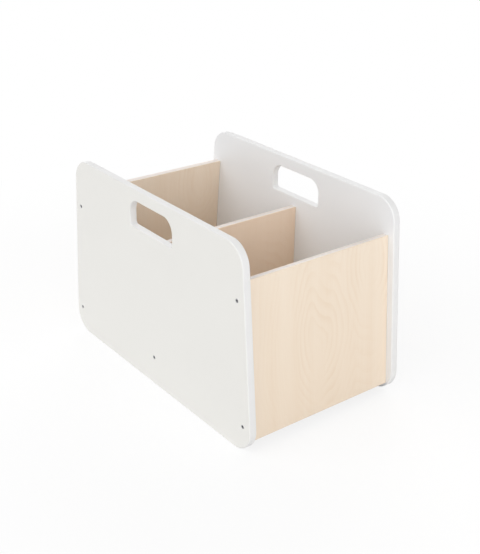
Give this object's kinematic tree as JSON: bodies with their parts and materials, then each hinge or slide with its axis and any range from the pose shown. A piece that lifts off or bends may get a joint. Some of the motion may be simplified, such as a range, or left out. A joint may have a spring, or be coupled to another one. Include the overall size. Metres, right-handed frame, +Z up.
{
  "type": "picture book browser bin",
  "caption": "Low open bin with leaning ends: white side boards with hand-hold slots, birch end panels, a divider and a raised floor, for showing picture books face forward.",
  "frame": {"origin": "on the ground, below the middle of the bin", "axes": "+X to the bin's right, -Y to its front, +Z up"},
  "size_m": [0.352, 0.5918, 0.382],
  "materials": {
    "white_board": "satin white lacquer on board",
    "birch": "clear matt lacquer on birch plywood",
    "screw_steel": "dull zinc plate",
    "dowel_beech": "bare beech"
  },
  "bodies": {
    "root": {"side_left": "white_board", "side_right": "white_board", "front_panel": "birch", "back_panel": "birch", "divider": "birch", "floor_board": "birch", "front_screw_left_low": "screw_steel", "front_screw_left_high": "screw_steel", "front_screw_right_low": "screw_steel", "front_screw_right_high": "screw_steel", "back_screw_left_low": "screw_steel", "back_screw_left_high": "screw_steel", "back_screw_right_low": "screw_steel", "back_screw_right_high": "screw_steel", "floor_screw_left": "screw_steel", "floor_screw_right": "screw_steel", "floor_dowel_front_left": "dowel_beech", "floor_dowel_front_right": "dowel_beech", "floor_dowel_back_left": "dowel_beech", "floor_dowel_back_right": "dowel_beech", "divider_dowel_left_low": "dowel_beech", "divider_dowel_left_high": "dowel_beech", "divider_dowel_right_low": "dowel_beech", "divider_dowel_right_high": "dowel_beech"}
  },
  "joints": []
}
